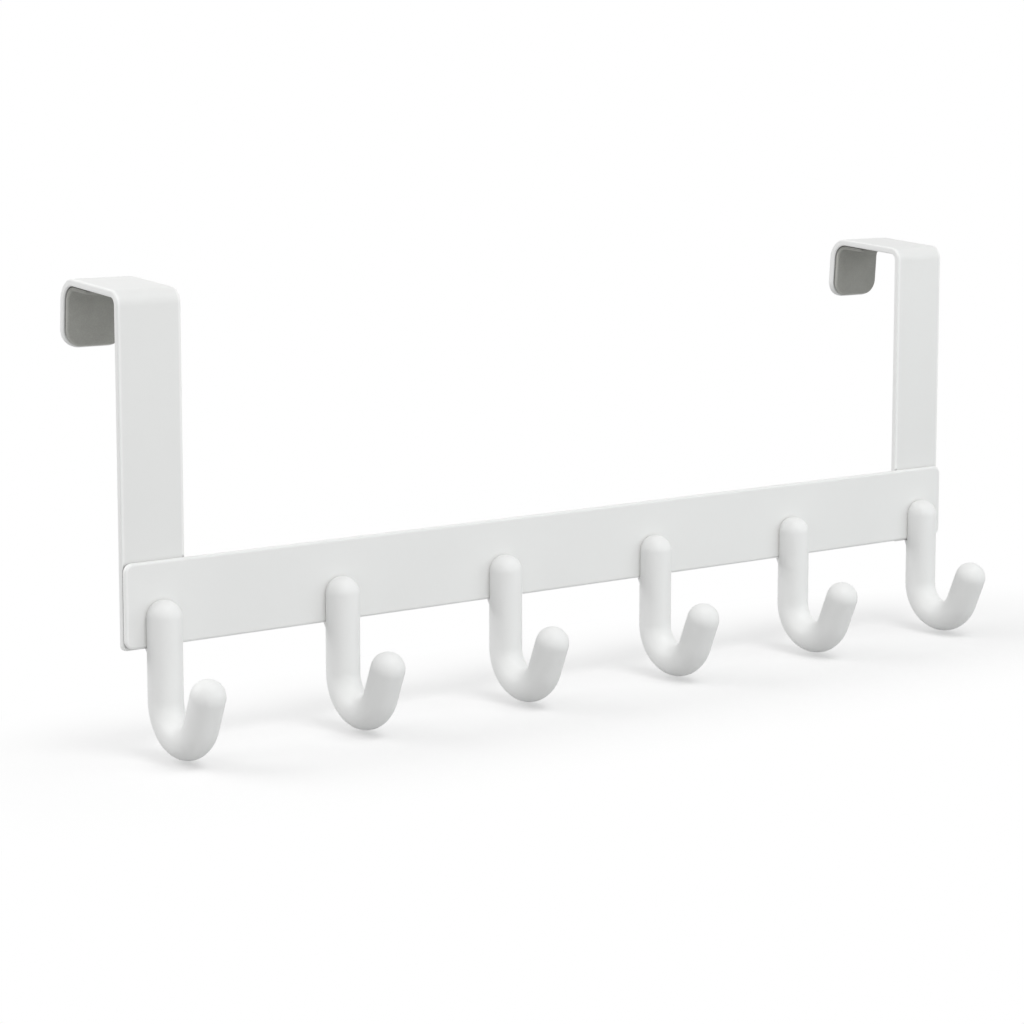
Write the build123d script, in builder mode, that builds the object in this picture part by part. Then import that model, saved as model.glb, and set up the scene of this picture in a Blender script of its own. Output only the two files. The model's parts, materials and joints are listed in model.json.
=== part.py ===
"""Over-door hook rack: a flat rail on two bent strap brackets, with round J hooks.

Millimetres. X runs along the rail, -Y is the side the hooks point to, +Y goes over the door and
+Z is up. The origin is midway along the rail, at the top front edge of the door: the straps' back
faces lie on Y = 0 and the brackets' webs start from Z = 0.
"""

import os
from math import cos, radians, sin

from build123d import *

os.makedirs("parts", exist_ok=True)

# Rail: flat bar with rounded corners and soft edges
rail_length = 406.0
rail_height = 31.0
rail_thickness = 2.4
rail_corner = 3.3
rail_front_round = 1.1
rail_back_round = 1.0

# Brackets: flat strap bent up and over the door, its web and lip sprung a little open
sheet = 2.7
strap_width = 25.6
rail_top_drop = 94.0
strap_end_below_rail = 0.8
door_gap = 37.5
web_rise = 4.0
lip_drop = 23.6
front_bend_radius = 2.7
back_bend_radius = 6.2
lip_corner = 7.0
strap_corner = 1.8
strap_edge_round = 0.7

# Hooks: round cast J with a flat seat and a heel that stops it turning
hook_count = 6
hook_end_inset = 14.0
rod_radius = 6.45
hook_top_rise = 17.2
hook_top_round = 6.2
hook_drop = 18.8
hook_bend = 13.1
tip_lean = 23.0
tip_length = 12.3
seat_depth = 2.7
heel_top_width = 11.0
heel_low_width = 7.4
heel_height = 4.0
heel_clearance = 0.35
strap_end_clearance = 0.4

# Screws: countersunk, driven from behind through the sheet into the hooks
screw_diameter = 4.0
screw_head_diameter = 6.8
screw_head_rim = 0.2
screw_head_sink = 0.05
screw_point = 0.5
screw_engagement = 5.6
screw_rise = 9.0
tapped_spare = 0.7
thread_clearance = 0.05
hole_clearance = 0.25
head_clearance = 0.05
socket_width = 2.5
socket_depth = 1.1

# Pads: foam stuck inside the lips, round the bends and a little way under the webs
pad_thickness = 1.9
pad_side_margin = 0.7
pad_foot_margin = 0.6
pad_web_reach = 16.5
pad_foot_corner = 6.3
pad_web_corner = 1.6
pad_edge_round = 0.9

# Places that several pieces share
rail_top = -rail_top_drop
rail_bottom = rail_top - rail_height
rail_back = -sheet
rail_front = rail_back - rail_thickness
strap_end = rail_bottom - strap_end_below_rail
rod_axis = rail_front - seat_depth
screw_height = rail_bottom + screw_rise
bracket_centre = (rail_length - strap_width) / 2
first_hook = hook_end_inset - rail_length / 2
hook_pitch = -2 * first_hook / (hook_count - 1)
hook_places = [first_hook + number * hook_pitch for number in range(hook_count)]
end_hooks = [hook_places[0], hook_places[-1]]
middle_hooks = hook_places[1:-1]
sides = {"left": -1, "right": 1}

# The web climbs from the strap and the lip hangs square to it
web_run = (cos(radians(web_rise)), sin(radians(web_rise)))
lip_run = (web_run[1], -web_run[0])
lip_root = (door_gap * web_run[0], door_gap * web_run[1])
lip_foot = (lip_root[0] + lip_drop * lip_run[0], lip_root[1] + lip_drop * lip_run[1])

# Screw holes: a clearance hole under a 90 degree countersink
hole_radius = screw_diameter / 2 + hole_clearance
sink_radius = screw_head_diameter / 2 + screw_head_rim + screw_head_sink + head_clearance


def from_behind(x, y):
    """Plane at a screw's place on a back face, looking out of that face."""
    return Plane(origin=(x, y, screw_height), x_dir=(1, 0, 0), z_dir=(0, 1, 0))


# Rail: one bar behind the hooks and in front of both straps
with BuildPart() as rail:
    with BuildSketch(Plane.XZ.offset(-rail_back)):
        with Locations((0, (rail_top + rail_bottom) / 2)):
            RectangleRounded(rail_length, rail_height, rail_corner)
    extrude(amount=rail_thickness)
    fillet(rail.faces().sort_by(Axis.Y)[0].edges(), radius=rail_front_round)
    fillet(rail.faces().sort_by(Axis.Y)[-1].edges(), radius=rail_back_round)
    with Locations(*[from_behind(x, rail_back) for x in middle_hooks]):
        CounterSinkHole(hole_radius, sink_radius, depth=2 * rail_thickness, counter_sink_angle=90)
    with Locations(*[from_behind(x, rail_back) for x in end_hooks]):
        Hole(hole_radius, depth=2 * rail_thickness)
rail.part.label = "rail"
export_step(rail.part, "parts/rail.step")

# Brackets: the side profile follows the strap, web and lip, and is extruded across the width
bend_radii = (front_bend_radius, back_bend_radius)
for name, side in sides.items():
    with BuildPart() as bracket:
        with BuildSketch(Plane.YZ.offset(side * bracket_centre)):
            with BuildLine():
                strap_line = [(0, strap_end), (0, 0), lip_root, lip_foot]
                inner_face = FilletPolyline(*strap_line, radius=bend_radii)
                offset(inner_face, amount=sheet, side=Side.LEFT)
            make_face()
        extrude(amount=strap_width / 2, both=True)
        end_edges = bracket.edges().filter_by(lambda edge: abs(edge.length - sheet) < sheet / 100)
        end_edges = end_edges.sort_by(Axis.Z)
        fillet(end_edges[:2], radius=strap_corner)
        fillet(end_edges[-2:], radius=lip_corner)
        bend_lines = bracket.edges().filter_by(Axis.X).filter_by(
            lambda edge: abs(edge.length - strap_width) < strap_width / 100
        )
        fillet(bracket.edges() - bend_lines, radius=strap_edge_round)
        with Locations(from_behind(side * end_hooks[1], 0)):
            CounterSinkHole(hole_radius, sink_radius, depth=2 * sheet, counter_sink_angle=90)
    bracket.part.label = f"{name}_bracket"
    export_step(bracket.part, f"parts/{name}_bracket.step")

# Pads: the side profile runs from under the web round the bend and down the lip
pad_width = strap_width - 2 * pad_side_margin
pad_web_end = (lip_root[0] - pad_web_reach * web_run[0], lip_root[1] - pad_web_reach * web_run[1])
pad_foot = (lip_foot[0] - pad_foot_margin * lip_run[0], lip_foot[1] - pad_foot_margin * lip_run[1])
for name, side in sides.items():
    with BuildPart() as pad:
        with BuildSketch(Plane.YZ.offset(side * bracket_centre)):
            with BuildLine():
                glued_face = FilletPolyline(pad_web_end, lip_root, pad_foot, radius=back_bend_radius)
                offset(glued_face, amount=pad_thickness, side=Side.RIGHT)
            make_face()
        extrude(amount=pad_width / 2, both=True)
        end_edges = pad.edges().filter_by(
            lambda edge: abs(edge.length - pad_thickness) < pad_thickness / 100
        )
        end_edges = end_edges.sort_by(Axis.Z)
        fillet(end_edges[:2], radius=pad_foot_corner)
        fillet(end_edges[-2:], radius=pad_web_corner)
        bend_lines = pad.edges().filter_by(Axis.X).filter_by(
            lambda edge: abs(edge.length - pad_width) < pad_width / 100
        )
        fillet(pad.edges() - bend_lines, radius=pad_edge_round)
    pad.part.label = f"{name}_lip_pad"
    export_step(pad.part, f"parts/{name}_lip_pad.step")

# Hooks: a round rod down a J path, softly rounded at the top and domed at the tip
rod_top = rail_bottom + hook_top_rise
bend_height = rail_bottom - hook_drop
heel_back = rail_back - heel_clearance
heel_top = rail_bottom - heel_clearance
notch_foot = strap_end - strap_end_clearance
for number, x in enumerate(hook_places, start=1):
    with BuildPart() as hook:
        with BuildLine(Plane.YZ.offset(x)) as spine:
            shank = Line((rod_axis, rod_top), (rod_axis, bend_height))
            bend = JernArc(shank @ 1, shank % 1, hook_bend, tip_lean - 180)
            tip = Line(bend @ 1, bend @ 1 + tip_length * (bend % 1))
        with BuildSketch(Plane(origin=shank @ 0, z_dir=shank % 0)):
            Circle(rod_radius)
        sweep(path=spine.wires()[0])
        fillet(hook.faces().sort_by(Axis.Z)[-1].edges(), radius=hook_top_round)
        with Locations(Plane(origin=tip @ 1, z_dir=tip % 1)):
            Sphere(rod_radius, arc_size1=0, align=(Align.CENTER, Align.CENTER, Align.MIN))
        # Heel: tapers from a shelf under the rail's lower edge into the sides of the rod
        with BuildSketch(Plane(origin=(x, rod_axis, 0), x_dir=(-1, 0, 0), z_dir=(0, 1, 0))):
            with BuildLine():
                Polyline(
                    (-heel_top_width / 2, heel_top),
                    (heel_top_width / 2, heel_top),
                    (heel_low_width / 2, heel_top - heel_height),
                    (-heel_low_width / 2, heel_top - heel_height),
                    close=True,
                )
            make_face()
        extrude(amount=heel_back - rod_axis)
        # Seat: a stepped notch lets the rail's front and lower edge, and the strap's end, fit behind
        with BuildSketch(Plane.YZ.offset(x)):
            with BuildLine():
                Polyline(
                    (rail_front, rod_top + rod_radius),
                    (rail_front, heel_top),
                    (heel_back, heel_top),
                    (heel_back, notch_foot),
                    (rod_axis + 2 * rod_radius, notch_foot),
                    (rod_axis + 2 * rod_radius, rod_top + rod_radius),
                    close=True,
                )
            make_face()
        extrude(amount=2 * rod_radius, both=True, mode=Mode.SUBTRACT)
        with Locations(from_behind(x, rail_front)):
            Hole(screw_diameter / 2 + thread_clearance, depth=screw_engagement + tapped_spare)
    hook.part.label = f"hook_{number}"
    export_step(hook.part, f"parts/hook_{number}.step")


def countersunk_screw(grip):
    """Screw whose head face looks along +Z, with the sheet that it clamps as thick as grip."""
    head_radius = screw_head_diameter / 2
    shank_radius = screw_diameter / 2
    rim_foot = -screw_head_sink - screw_head_rim
    point = -grip - screw_engagement
    with BuildPart() as screw:
        with BuildSketch(Plane.XZ):
            with BuildLine():
                Polyline(
                    (0, -screw_head_sink),
                    (head_radius, -screw_head_sink),
                    (head_radius, rim_foot),
                    (shank_radius, rim_foot - (head_radius - shank_radius)),
                    (shank_radius, point + screw_point),
                    (shank_radius - screw_point, point),
                    (0, point),
                    close=True,
                )
            make_face()
        revolve(axis=Axis.Z)
        with BuildSketch(Plane.XY.offset(-screw_head_sink)):
            RegularPolygon(socket_width / 2, side_count=6, major_radius=False)
        extrude(amount=-socket_depth, mode=Mode.SUBTRACT)
    return screw.part


# Screws of the middle hooks clamp the rail alone
rail_screw = countersunk_screw(grip=rail_thickness)
with BuildPart() as rail_screws:
    with Locations(*[from_behind(x, rail_back) for x in middle_hooks]):
        add(rail_screw)
rail_screws.part.label = "rail_screws"
export_step(rail_screws.part, "parts/rail_screws.step")

# Screws of the end hooks clamp the brackets and the rail together
bracket_screw = countersunk_screw(grip=sheet + rail_thickness)
with BuildPart() as bracket_screws:
    with Locations(*[from_behind(x, 0) for x in end_hooks]):
        add(bracket_screw)
bracket_screws.part.label = "bracket_screws"
export_step(bracket_screws.part, "parts/bracket_screws.step")
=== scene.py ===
"""Over-door hook rack in a white studio: powder-coated rail, brackets and hooks, foam pads and zinc screws.

Metres, in the part's own frame: X along the rail, -Y the side the hooks point to, +Z up.
"""

import json
from math import asin, cos, radians, sin

import bpy
import numpy as np
from mathutils import Matrix, Vector


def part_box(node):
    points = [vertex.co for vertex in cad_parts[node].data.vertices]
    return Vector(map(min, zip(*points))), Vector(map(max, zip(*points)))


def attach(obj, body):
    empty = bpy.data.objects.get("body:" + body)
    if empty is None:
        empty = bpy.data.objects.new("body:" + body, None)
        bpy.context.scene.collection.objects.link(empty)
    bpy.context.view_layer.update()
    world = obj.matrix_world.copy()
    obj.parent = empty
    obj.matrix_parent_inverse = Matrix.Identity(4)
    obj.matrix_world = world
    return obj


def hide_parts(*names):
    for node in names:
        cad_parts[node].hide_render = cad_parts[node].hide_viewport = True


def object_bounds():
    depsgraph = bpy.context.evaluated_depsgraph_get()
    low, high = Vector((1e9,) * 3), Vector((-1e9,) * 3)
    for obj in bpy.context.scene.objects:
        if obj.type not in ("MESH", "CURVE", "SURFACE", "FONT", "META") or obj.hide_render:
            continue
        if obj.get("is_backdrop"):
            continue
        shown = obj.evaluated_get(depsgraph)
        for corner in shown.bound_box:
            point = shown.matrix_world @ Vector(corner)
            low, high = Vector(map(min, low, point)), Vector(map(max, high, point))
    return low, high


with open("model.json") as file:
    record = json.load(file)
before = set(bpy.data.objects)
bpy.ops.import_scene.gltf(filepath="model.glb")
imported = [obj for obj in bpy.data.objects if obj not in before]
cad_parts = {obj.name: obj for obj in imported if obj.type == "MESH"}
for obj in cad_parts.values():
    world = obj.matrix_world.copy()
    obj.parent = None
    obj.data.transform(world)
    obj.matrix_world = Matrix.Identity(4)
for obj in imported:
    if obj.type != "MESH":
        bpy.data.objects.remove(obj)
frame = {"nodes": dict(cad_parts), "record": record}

cad_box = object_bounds()


# Rail: one flat steel bar with rounded corners and soft edges, screwed on in front of both straps.
# It is powder coated white. The powder flows before it sets, which leaves a faint orange peel in a satin
# skin. A painted highlight whitens the edges, and painted shade greys the seams.
class Value:
    """One output of a shader tree. Arithmetic on it adds Math nodes, with a number on either side."""

    def __init__(self, finish, socket):
        self.finish = finish
        self.socket = socket

    def output(self, name):
        """Another output of the same node."""
        return Value(self.finish, self.socket.node.outputs[name])

    def math(self, operation, other=0.0):
        """A Math node's operation on this value and another."""
        return self.finish.node("ShaderNodeMath", {"operation": operation}, {0: self, 1: other})

    def __add__(self, other):
        return self.math("ADD", other)

    def __sub__(self, other):
        return self.math("SUBTRACT", other)

    def __rsub__(self, other):
        return self.finish.node("ShaderNodeMath", {"operation": "SUBTRACT"}, {0: other, 1: self})

    def __mul__(self, other):
        return self.math("MULTIPLY", other)

    def __truediv__(self, other):
        return self.math("DIVIDE", other)

    def __pow__(self, other):
        return self.math("POWER", other)

    def __abs__(self):
        return self.math("ABSOLUTE")

    def __round__(self):
        return self.math("ROUND")

    def sine(self):
        return self.math("SINE")

    def at_least(self, other):
        return self.math("MAXIMUM", other)

    __radd__ = __add__
    __rmul__ = __mul__


class Finish:
    """The shader tree of a material or world: node() adds a node and hands back one of its outputs."""

    def __init__(self, owner):
        owner.use_nodes = True
        self.owner = owner
        self.tree = owner.node_tree
        self.tree.nodes.clear()

    def node(self, kind, settings=None, inputs=None, output=0):
        """Adds a node of a kind, sets its settings first, then fills or links its inputs."""
        made = self.tree.nodes.new(kind)
        for setting, value in (settings or {}).items():
            setattr(made, setting, value)
        for socket, value in (inputs or {}).items():
            if isinstance(value, Value):
                self.tree.links.new(value.socket, made.inputs[socket])
            else:
                made.inputs[socket].default_value = value
        return Value(self, made.outputs[output]) if made.outputs else None

    def place(self):
        """The point on the object, in metres of the part's frame."""
        return self.node("ShaderNodeTexCoord", output="Object")

    def position(self):
        """The same point's X, Y and Z, as three numbers."""
        axes = self.node("ShaderNodeSeparateXYZ", inputs={"Vector": self.place()})
        return [axes.output(name) for name in "XYZ"]

    def noise(self, size, detail=2.0):
        """Soft noise from 0 to 1 whose lumps measure about size."""
        inputs = {"Vector": self.place(), "Scale": 1 / size, "Detail": detail}
        return self.node("ShaderNodeTexNoise", inputs=inputs)

    def blend(self, share, first, second):
        """A colour that goes from first to second as share goes from 0 to 1.

        A Mix node has several sockets of one name, so its colours go by number.
        """
        first_colour, second_colour, mixed_colour = 6, 7, 2
        ends = [end if isinstance(end, Value) else (*end, 1) for end in (first, second)]
        inputs = {"Factor": share, first_colour: ends[0], second_colour: ends[1]}
        return self.node("ShaderNodeMix", {"data_type": "RGBA"}, inputs, mixed_colour)

    def step(self, value, start, end):
        """Rises smoothly from 0 at start to 1 at end, or falls where end is the lower."""
        inputs = {"Value": value, "From Min": start, "From Max": end}
        return self.node("ShaderNodeMapRange", {"interpolation_type": "SMOOTHSTEP"}, inputs)

    def openness(self, reach):
        """How open the surface is to the air within reach: 1 on faces and edges, 0 down in a seam."""
        rays = 8
        in_seam, in_open = 0.3, 0.9
        # Ambient occlusion, from which the coats and the foam paint shade into their seams.
        air = self.node("ShaderNodeAmbientOcclusion", {"samples": rays}, {"Distance": reach}, "AO")
        return self.step(air, in_seam, in_open)

    def relief(self, height, depth):
        """The normal of a surface whose hollows are as deep as depth."""
        return self.node("ShaderNodeBump", inputs={"Height": height, "Distance": depth})

    def surface(self, inputs):
        """Ends the tree in a Principled shader with these inputs."""
        shader = self.node("ShaderNodeBsdfPrincipled", inputs=inputs)
        self.node("ShaderNodeOutputMaterial", inputs={"Surface": shader})
        return self.owner


def powder_coat(name, cover, peel_size, peel_depth, highlight_rim=None):
    """White powder coat: soft clouds and fine specks between two close whites, and orange peel.

    Its satin gloss dulls in the peel's hollows. Painted shade greys the seams, where the coat is closed in.
    A painted highlight whitens the edges of a sheet, and darkens the painted shade of the seams it meets.
    """
    thin_white = (0.800, 0.804, 0.795)
    full_white = (0.886, 0.890, 0.883)
    # Painted highlight for the edges, and painted shade for the seams, darkest where the two meet.
    painted_edge_highlight = (0.965, 0.967, 0.960)
    painted_seam_shade = (0.74, 0.74, 0.73)
    painted_edge_seam_shade = (0.02, 0.02, 0.02)
    seam_reach = 0.0018
    cloud_size, cloud_share = 0.035, 0.75
    speck_size, speck_share = 0.0004, 0.25
    mottle_strength, mottle_mean = 0.4, 0.5
    peel_relief, speck_relief = 0.8, 0.2
    satin, dulling = 0.33, 0.10
    shine = 0.2
    coat = Finish(bpy.data.materials.new(name))
    peel = coat.noise(peel_size, detail=1.0)
    specks = coat.noise(speck_size)
    clouds = coat.noise(cloud_size, detail=3.0)
    mottle = cloud_share * clouds + speck_share * specks - mottle_mean
    colour = coat.blend(cover + mottle_strength * mottle, thin_white, full_white)
    # Painted highlight: the edges turn whiter, and the painted seam shade turns near black along them.
    if highlight_rim:
        edge = highlight_rim(coat)
        colour = coat.blend(edge, colour, painted_edge_highlight)
        painted_seam_shade = coat.blend(edge, painted_seam_shade, painted_edge_seam_shade)
    # Painted shade: the colour greys down in the seams, where the coat is closed in from the air.
    return coat.surface({
        "Base Color": coat.blend(coat.openness(seam_reach), painted_seam_shade, colour),
        "Roughness": satin + dulling * (1 - peel),
        "Specular IOR Level": shine,
        "Normal": coat.relief(peel_relief * peel + speck_relief * specks, peel_depth),
    })


def dress(node, material):
    """Gives a CAD node its finish."""
    slots = frame["nodes"][node].data.materials
    slots.clear()
    slots.append(material)


def rail_highlight(coat):
    """Painted highlight, strong at the rail's ends and faint along its sides.

    It fades inwards by the distance in from a rectangle with rounded corners.
    """
    corner = 0.0033
    side_share = 0.1
    rim_start, rim_full = 0.0014, 0.0006
    low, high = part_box("rail")
    half_length, half_height = (high.x - low.x) / 2, (high.z - low.z) / 2
    along, _, upward = coat.position()
    past_end = (abs(along) - (half_length - corner)).at_least(0)
    past_side = (abs(upward - (high.z + low.z) / 2) - (half_height - corner)).at_least(0)
    inside = corner - (past_end**2 + past_side**2) ** 0.5
    highlight_strength = side_share + (1 - side_share) * coat.step(past_end, 0, corner / 2)
    return highlight_strength * coat.step(inside, rim_start, rim_full)


sheet_peel = {"peel_size": 0.0011, "peel_depth": 0.00002}
rail_coat = powder_coat("white_powder_on_rail", cover=0.60, highlight_rim=rail_highlight, **sheet_peel)
dress("rail", rail_coat)

# Brackets: flat steel strap bent up behind the rail's ends, over the door and down into a short lip.
# They are coated like the rail, a little thinner, before they are screwed to it.
sides = ("left", "right")


def strap_highlight(coat):
    """Painted highlight, even along a strap's two edges, fading inwards by the distance from the nearer
    edge.
    """
    rim_share = 0.6
    rim_start, rim_full = 0.0016, 0.0007
    low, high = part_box("right_bracket")
    along, _, _ = coat.position()
    from_middle = abs(abs(along) - (low.x + high.x) / 2)
    return rim_share * coat.step((high.x - low.x) / 2 - from_middle, rim_start, rim_full)


strap_coat = powder_coat("white_powder_on_strap", cover=0.26, highlight_rim=strap_highlight, **sheet_peel)
for side in sides:
    dress(f"{side}_bracket", strap_coat)

# Hooks: thick round J hooks cast in aluminium, each with a flat seat on the rail and a heel under its edge.
# The powder lies thicker on the casting, so it is a little whiter and its orange peel broader.
cast_coat = powder_coat("white_powder_on_casting", cover=0.96, peel_size=0.0015, peel_depth=0.00003)
hooks = sorted(name for name in frame["nodes"] if name.startswith("hook_"))
for hook in hooks:
    dress(hook, cast_coat)

# Lip pads: strips of grey closed-cell foam with a sticky back, pressed down inside the lips, round the
# bends and a little way under the webs. The die squeezes their edges round and leaves pale, open cells
# along the cut, which shows most down the lips.
mounts = {mount["name"]: mount for mount in frame["record"]["mounts"]}
web_axis = mounts["left_pad_seat"]["axis"]
lip_lean = asin(web_axis[1])
door_gap = 0.0375
pad_bend = 0.0062
pad_lip_length, pad_web_reach = 0.0230, 0.0165
pad_foot_corner, pad_web_corner = 0.0063, 0.0016
pad_thickness = 0.0019
pad_edge = 0.0009
lip_straight = pad_lip_length - pad_bend
bend_length = pad_bend * np.pi / 2
pad_length = lip_straight + bend_length + pad_web_reach - pad_bend


def fall_back(distance, radius):
    """How far a quarter circle falls back from its full reach, at a distance from the end it rounds."""
    return radius - np.sqrt(radius**2 - (radius - np.clip(distance, 0, radius)) ** 2)


def strip_rows():
    """Distances from the foot along the strip, crowded by a cosine where its edges and corners curve."""
    first_angle, end_rows, middle_rows = 0.1, 14, 90
    row_decimals = 8
    ease = 1 - np.cos(np.linspace(first_angle, np.pi / 2, end_rows))
    from_foot = np.concatenate([pad_edge * ease, pad_foot_corner * ease])
    from_web_end = np.concatenate([pad_edge * ease, pad_web_corner * ease])
    between = np.linspace(pad_foot_corner, pad_length - pad_web_corner, middle_rows)
    rows = np.concatenate([from_foot, between, pad_length - from_web_end])
    return np.unique(rows.round(row_decimals))[:, None]


def strip_sections(rows, half_strip):
    """Each point's place across the flat strip, its level above the glue and how much of the cut it shows.

    The strip is a rectangle with rounded corners: near an end its half width falls back by the corner's
    circle. Each section runs across the sticky side and back over the face, which is crowned and faintly
    rippled. A point's distance in from the strip's outline rounds both of them off, by the edge's circle,
    and sets how much of the cut it shows, which fades round the bend.
    """
    columns = 61
    crown_height, ripple_height = 0.00008, 0.00003
    ripples_across, ripples_along, ripple_slant = 900, 1100, 300
    web_cut = 0.15
    across = np.sin(np.linspace(-np.pi / 2, np.pi / 2, columns))
    half = half_strip - fall_back(rows, pad_foot_corner) - fall_back(pad_length - rows, pad_web_corner)
    wide = half * across
    corner = np.where(rows < pad_length / 2, pad_foot_corner, pad_web_corner)
    past_side = np.abs(wide) - half_strip + corner
    past_end = np.abs(rows - pad_length / 2) - pad_length / 2 + corner
    past_corner = np.hypot(np.maximum(past_side, 0), np.maximum(past_end, 0))
    inside = corner - past_corner - np.minimum(np.maximum(past_side, past_end), 0)
    sticky_level = fall_back(inside, pad_edge)
    ripple = np.sin(wide * ripples_across) * np.sin(rows * ripples_along + wide * ripple_slant)
    crown = (crown_height + ripple_height * ripple) * (1 - across**2)
    face_level = pad_thickness - crown_height - ripple_height + crown - sticky_level
    cut = 1 - np.clip(inside / pad_edge, 0, 1)
    cut = cut * np.clip(1 - (rows - lip_straight) / bend_length, web_cut, 1)
    halves = [(wide, wide), (sticky_level, face_level), (cut, cut)]
    return [np.concatenate([sticky[:, ::-1], face], axis=1) for sticky, face in halves]


def round_the_bend(rows, level):
    """Y and Z of the strip's points, wrapped round the bend, with X left at 0.

    The lip and web parts stay straight, and between them the distance along the strip turns into an angle.
    """
    up = np.array([0, -sin(lip_lean), cos(lip_lean)])
    inward = np.array([0, -cos(lip_lean), -sin(lip_lean)])
    bend_centre = -door_gap * inward + pad_bend * (inward - up)
    turn = np.clip((rows - lip_straight) / pad_bend, 0, np.pi / 2)[..., None]
    below = np.minimum(rows - lip_straight, 0)[..., None]
    beyond = np.maximum(rows - lip_straight - bend_length, 0)[..., None]
    out = (pad_bend - level)[..., None] * (np.sin(turn) * up - np.cos(turn) * inward)
    return bend_centre + below * up + beyond * inward + out


def closed_shell(name, rings, cut):
    """Mesh of a grid of rings, the first and last of one point each, with its cut as an attribute."""
    whole_rings, around = len(rings) - 2, rings.shape[1]
    points = np.concatenate([rings[:1, 0], rings[1:-1].reshape(-1, 3), rings[-1:, 0]])
    cut = np.concatenate([cut[:1, 0], cut[1:-1].ravel(), cut[-1:, 0]])
    ring = np.arange(whole_rings - 1)[:, None] * around + 1
    next_ring = ring + around
    here = np.arange(around)
    following = (here + 1) % around
    quads = np.stack([ring + here, ring + following, next_ring + following, next_ring + here], axis=-1)
    last = len(points) - 1
    start_fan = np.stack([np.zeros_like(here), 1 + following, 1 + here], axis=1)
    end_ring = last - around
    end_fan = np.stack([np.full_like(here, last), end_ring + here, end_ring + following], axis=1)
    mesh = bpy.data.meshes.new(name)
    mesh.from_pydata(points, [], [*quads.reshape(-1, 4), *start_fan, *end_fan])
    mesh.polygons.foreach_set("use_smooth", np.ones(len(mesh.polygons), dtype=bool))
    mesh.attributes.new("cut_edge", "FLOAT", "POINT").data.foreach_set("value", cut)
    piece = bpy.data.objects.new(name, mesh)
    bpy.context.collection.objects.link(piece)
    return piece


def foam_pad(node):
    """Tube of the strip's sections, closed by a point in the middle of each end, wrapped round the bend."""
    low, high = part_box(node)
    rows = strip_rows()
    wide, level, cut = strip_sections(rows, half_strip=(high.x - low.x) / 2)
    ends = [0, -1]
    before_and_after = [0, len(rows)]
    wide = np.insert(wide, before_and_after, 0, axis=0)
    level = np.insert(level, before_and_after, level[ends].mean(axis=1, keepdims=True), axis=0)
    cut = np.insert(cut, before_and_after, cut[ends].max(axis=1, keepdims=True), axis=0)
    rows = np.insert(rows, before_and_after, rows[ends], axis=0)
    points = round_the_bend(rows, level)
    points[..., 0] = wide + (low.x + high.x) / 2
    return closed_shell(f"{node}_foam", points, cut)


def closed_cell_foam(name):
    """Grey foam: fine cells that pit the face, each a little lighter or darker, and paler along a cut."""
    cell_size, cell_share = 0.00055, 0.55
    lump_size, lump_share = 0.004, 0.45
    cell_depth, lump_relief = 0.00006, 0.5
    deep_grey = (0.29, 0.29, 0.27)
    cut_grey = (0.62, 0.62, 0.585)
    # Painted shade, near black, down in the seams:
    painted_seam_shade = (0.07, 0.07, 0.065)
    seam_reach = 0.0012
    face_share, cut_share = 0.33, 0.45
    matt, cell_matt = 0.82, 0.12
    foam = Finish(bpy.data.materials.new(name))
    cells = foam.node("ShaderNodeTexVoronoi", inputs={"Vector": foam.place(), "Scale": 1 / cell_size})
    lumps = foam.noise(lump_size, detail=3.0)
    cut = foam.node("ShaderNodeAttribute", {"attribute_name": "cut_edge"}, output="Fac")
    paleness = face_share * (cell_share * cells + lump_share * lumps) + cut_share * cut
    grey = foam.blend(paleness, deep_grey, cut_grey)
    # Painted shade greys the foam down in the seams, where it is closed in from the air.
    return foam.surface({
        "Base Color": foam.blend(foam.openness(seam_reach), painted_seam_shade, grey),
        "Roughness": matt + cell_matt * cells,
        "Normal": foam.relief(cells + lump_relief * lumps, cell_depth),
    })


pad_foam = closed_cell_foam("grey_closed_cell_foam")
for side in sides:
    pad = foam_pad(f"{side}_lip_pad")
    pad.data.materials.append(pad_foam)
    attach(pad, "root")
    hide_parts(f"{side}_lip_pad")

# Screws: countersunk machine screws in bright zinc, driven from behind into the tapped hooks.
# Their heads are turned, so fine rings run round each hexagon socket.


def turned_zinc(name, spacing, first, height):
    """Bright zinc on turned heads: rings round each screw's axis and faint blue and straw tints.

    The nearest axis is the first one plus a whole number of spacings, all at one height.
    """
    ring_pitch, ring_depth = 0.00022, 0.000006
    blue_zinc = (0.66, 0.68, 0.71)
    straw_zinc = (0.72, 0.70, 0.65)
    tint_size = 0.002
    polish, straw_dulling = 0.26, 0.14
    zinc = Finish(bpy.data.materials.new(name))
    along, _, upward = zinc.position()
    nearest = round((along - first) / spacing) * spacing + first
    radius = ((along - nearest) ** 2 + (upward - height) ** 2) ** 0.5
    rings = (radius * (2 * np.pi / ring_pitch)).sine()
    tint = zinc.noise(tint_size)
    return zinc.surface({
        "Base Color": zinc.blend(tint, blue_zinc, straw_zinc),
        "Metallic": 1.0,
        "Roughness": polish + straw_dulling * tint,
        "Normal": zinc.relief(rings, ring_depth),
    })


def middle(node):
    """Centre of a node's box."""
    low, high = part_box(node)
    return (low + high) / 2


hook_pitch = middle(hooks[1]).x - middle(hooks[0]).x
screw_finish = turned_zinc("turned_zinc", hook_pitch, middle(hooks[0]).x, middle("rail_screws").z)
for node in ("rail_screws", "bracket_screws"):
    dress(node, screw_finish)

# Studio: a seamless white floor just under the hooks, which keeps a pale shadow, and a white surround.
# A key softbox hangs high in front and another stands behind on the left, with weak fills in front, on
# the left and on the right.
white = (1, 1, 1, 1)
floor_gap = 0.0015
floor_half = 6.0
floor_height = cad_box[0].z - floor_gap


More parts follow.
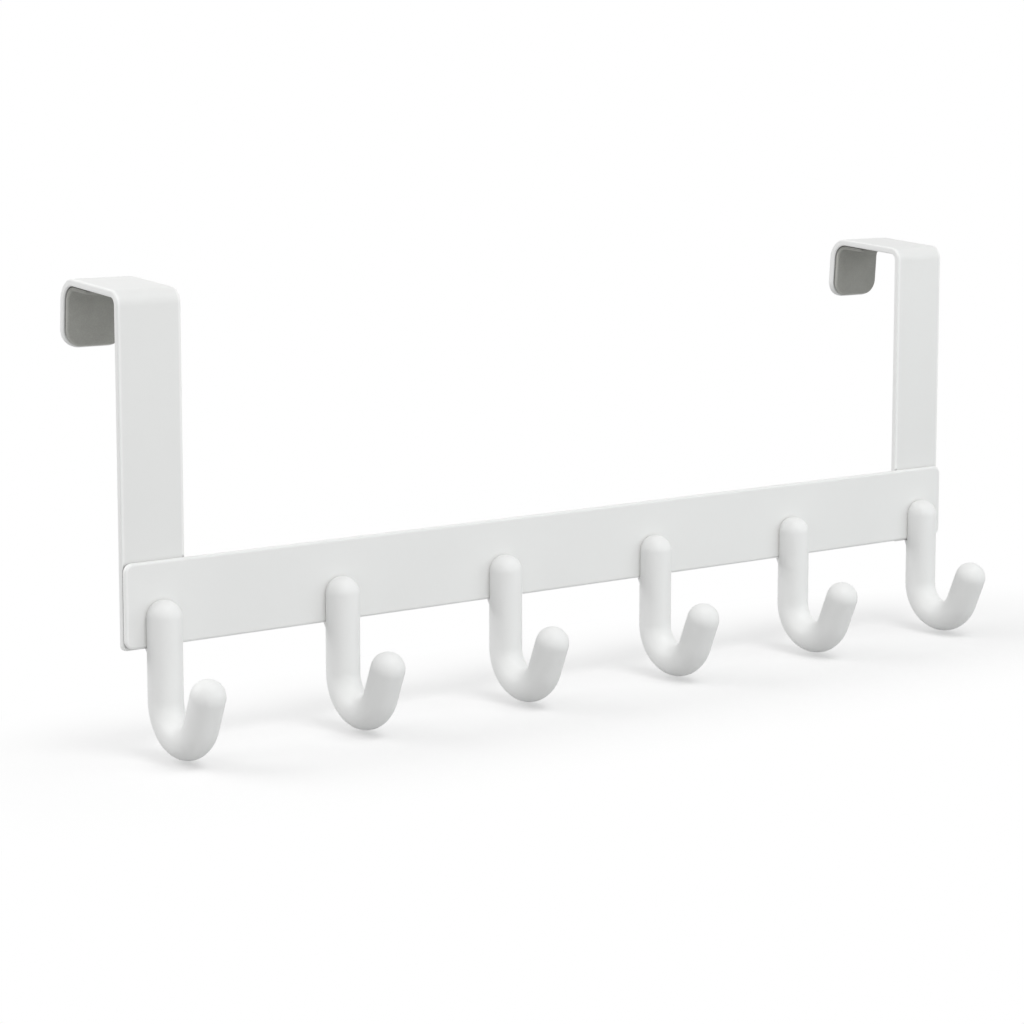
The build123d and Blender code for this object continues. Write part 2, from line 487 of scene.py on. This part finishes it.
def seen_rays(finish):
    """1 for rays that show a surface, straight, by gloss or through glass, and 0 for those that light."""
    camera_ray = finish.node("ShaderNodeLightPath", output="Is Camera Ray")
    glossy_ray = camera_ray.output("Is Glossy Ray")
    return camera_ray.at_least(glossy_ray).at_least(camera_ray.output("Is Transmission Ray"))


def seamless_paper(name):
    """White paper that shows the rack's shadow in an oval under it, and is pure white further out.

    The oval ends where (x / length)^4 + (y / depth)^2 is 1, with y from its middle, and fades out from its
    core to there. To the rays that light the rack it is plain pale paper.
    """
    lit_white = (0.55, 0.55, 0.55, 1)
    shadow_white = (0.60, 0.60, 0.60, 1)
    shadow_glow = 0.385
    shadow_length, shadow_depth, shadow_middle = 0.33, 0.105, -0.015
    shadow_core = 0.3
    paper = Finish(bpy.data.materials.new(name))
    along, outward, _ = paper.position()
    away = ((along / shadow_length) ** 4 + ((outward - shadow_middle) / shadow_depth) ** 2) ** 0.5
    fade = paper.step(away, shadow_core, 1.0)
    shaded = paper.node("ShaderNodeBsdfDiffuse", inputs={"Color": shadow_white})
    near_glow = paper.node("ShaderNodeEmission", inputs={"Color": white, "Strength": shadow_glow})
    near = paper.node("ShaderNodeAddShader", inputs={0: shaded, 1: near_glow})
    far = paper.node("ShaderNodeEmission", inputs={"Color": white, "Strength": 1.0})
    shown = paper.node("ShaderNodeMixShader", inputs={0: fade, 1: near, 2: far})
    lit = paper.node("ShaderNodeBsdfDiffuse", inputs={"Color": lit_white})
    sheet = paper.node("ShaderNodeMixShader", inputs={0: seen_rays(paper), 1: lit, 2: shown})
    paper.node("ShaderNodeOutputMaterial", inputs={"Surface": sheet})
    return paper.owner


corners = floor_half * np.array([(-1, -1, 0), (1, -1, 0), (1, 1, 0), (-1, 1, 0)])
floor_mesh = bpy.data.meshes.new("studio_floor")
floor_mesh.from_pydata(corners + (0, 0, floor_height), [], [(0, 1, 2, 3)])
floor_mesh.materials.append(seamless_paper("white_paper"))
floor = bpy.data.objects.new("studio_floor", floor_mesh)
bpy.context.collection.objects.link(floor)
floor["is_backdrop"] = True

scene = bpy.context.scene
scene.view_settings.view_transform = "Standard"
surround_light = 0.44
surround = Finish(bpy.data.worlds.new("white_surround"))
strength = surround_light + (1 - surround_light) * seen_rays(surround)
sky = surround.node("ShaderNodeBackground", inputs={"Color": white, "Strength": strength})
surround.node("ShaderNodeOutputWorld", inputs={"Surface": sky})
scene.world = surround.owner
rack_middle = (cad_box[0] + cad_box[1]) / 2


def softbox(name, place, width, height, power, tint=(1, 1, 1)):
    """Rectangular lamp at place, turned to face the middle of the rack."""
    lamp = bpy.data.lights.new(name, "AREA")
    lamp.shape = "RECTANGLE"
    lamp.size, lamp.size_y = width, height
    lamp.energy = power
    lamp.color = tint
    fitting = bpy.data.objects.new(name, lamp)
    fitting.location = place
    fitting.rotation_euler = (rack_middle - Vector(place)).to_track_quat("-Z", "Y").to_euler()
    bpy.context.collection.objects.link(fitting)


softbox("key_softbox", place=(0.05, -0.62, 0.93), width=0.6, height=0.5, power=4.7)
softbox("back_softbox", place=(-0.80, 0.60, 0.55), width=0.9, height=0.7, power=5.1)
softbox("front_fill", place=(-0.39, -1.06, 0.33), width=0.5, height=0.5, power=1.5)
softbox("left_fill", place=(-0.70, -0.80, 0.00), width=0.4, height=0.25, power=0.75)
softbox("right_fill", place=(0.75, -0.85, 0.15), width=0.6, height=0.6, power=2.05, tint=(0.95, 1.0, 1.0))

# Camera: a long lens at the photograph's angle, left of the rack and a little above it.
# The lens is shifted down, so that the uprights stay nearly upright.
view_turn = radians(36.601)
view_drop = radians(7.152)
view_distance = 1.0797
aim_point = Vector((0, 0, -0.060))
aim_right, aim_up = -0.02322, 0.00540
focal_pixels, picture_width, axis_row = 2717.5, 1024, 410
sensor_width = 36
camera_data = bpy.data.cameras.new("studio_camera")
camera_data.sensor_width = sensor_width
camera_data.lens = sensor_width * focal_pixels / picture_width
camera_data.shift_y = (axis_row - picture_width / 2) / picture_width
forward = Vector((sin(view_turn) * cos(view_drop), cos(view_turn) * cos(view_drop), -sin(view_drop)))
right = Vector((cos(view_turn), -sin(view_turn), 0))
upward = right.cross(forward)
camera_place = aim_point + aim_right * right + aim_up * upward - view_distance * forward
camera_turn = Matrix((right, upward, -forward)).transposed().to_4x4()
camera = bpy.data.objects.new("studio_camera", camera_data)
camera.matrix_world = Matrix.Translation(camera_place) @ camera_turn
bpy.context.collection.objects.link(camera)
scene.camera = camera

boxes = {"cad": [list(corner) for corner in cad_box], "visual": [list(corner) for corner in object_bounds()]}
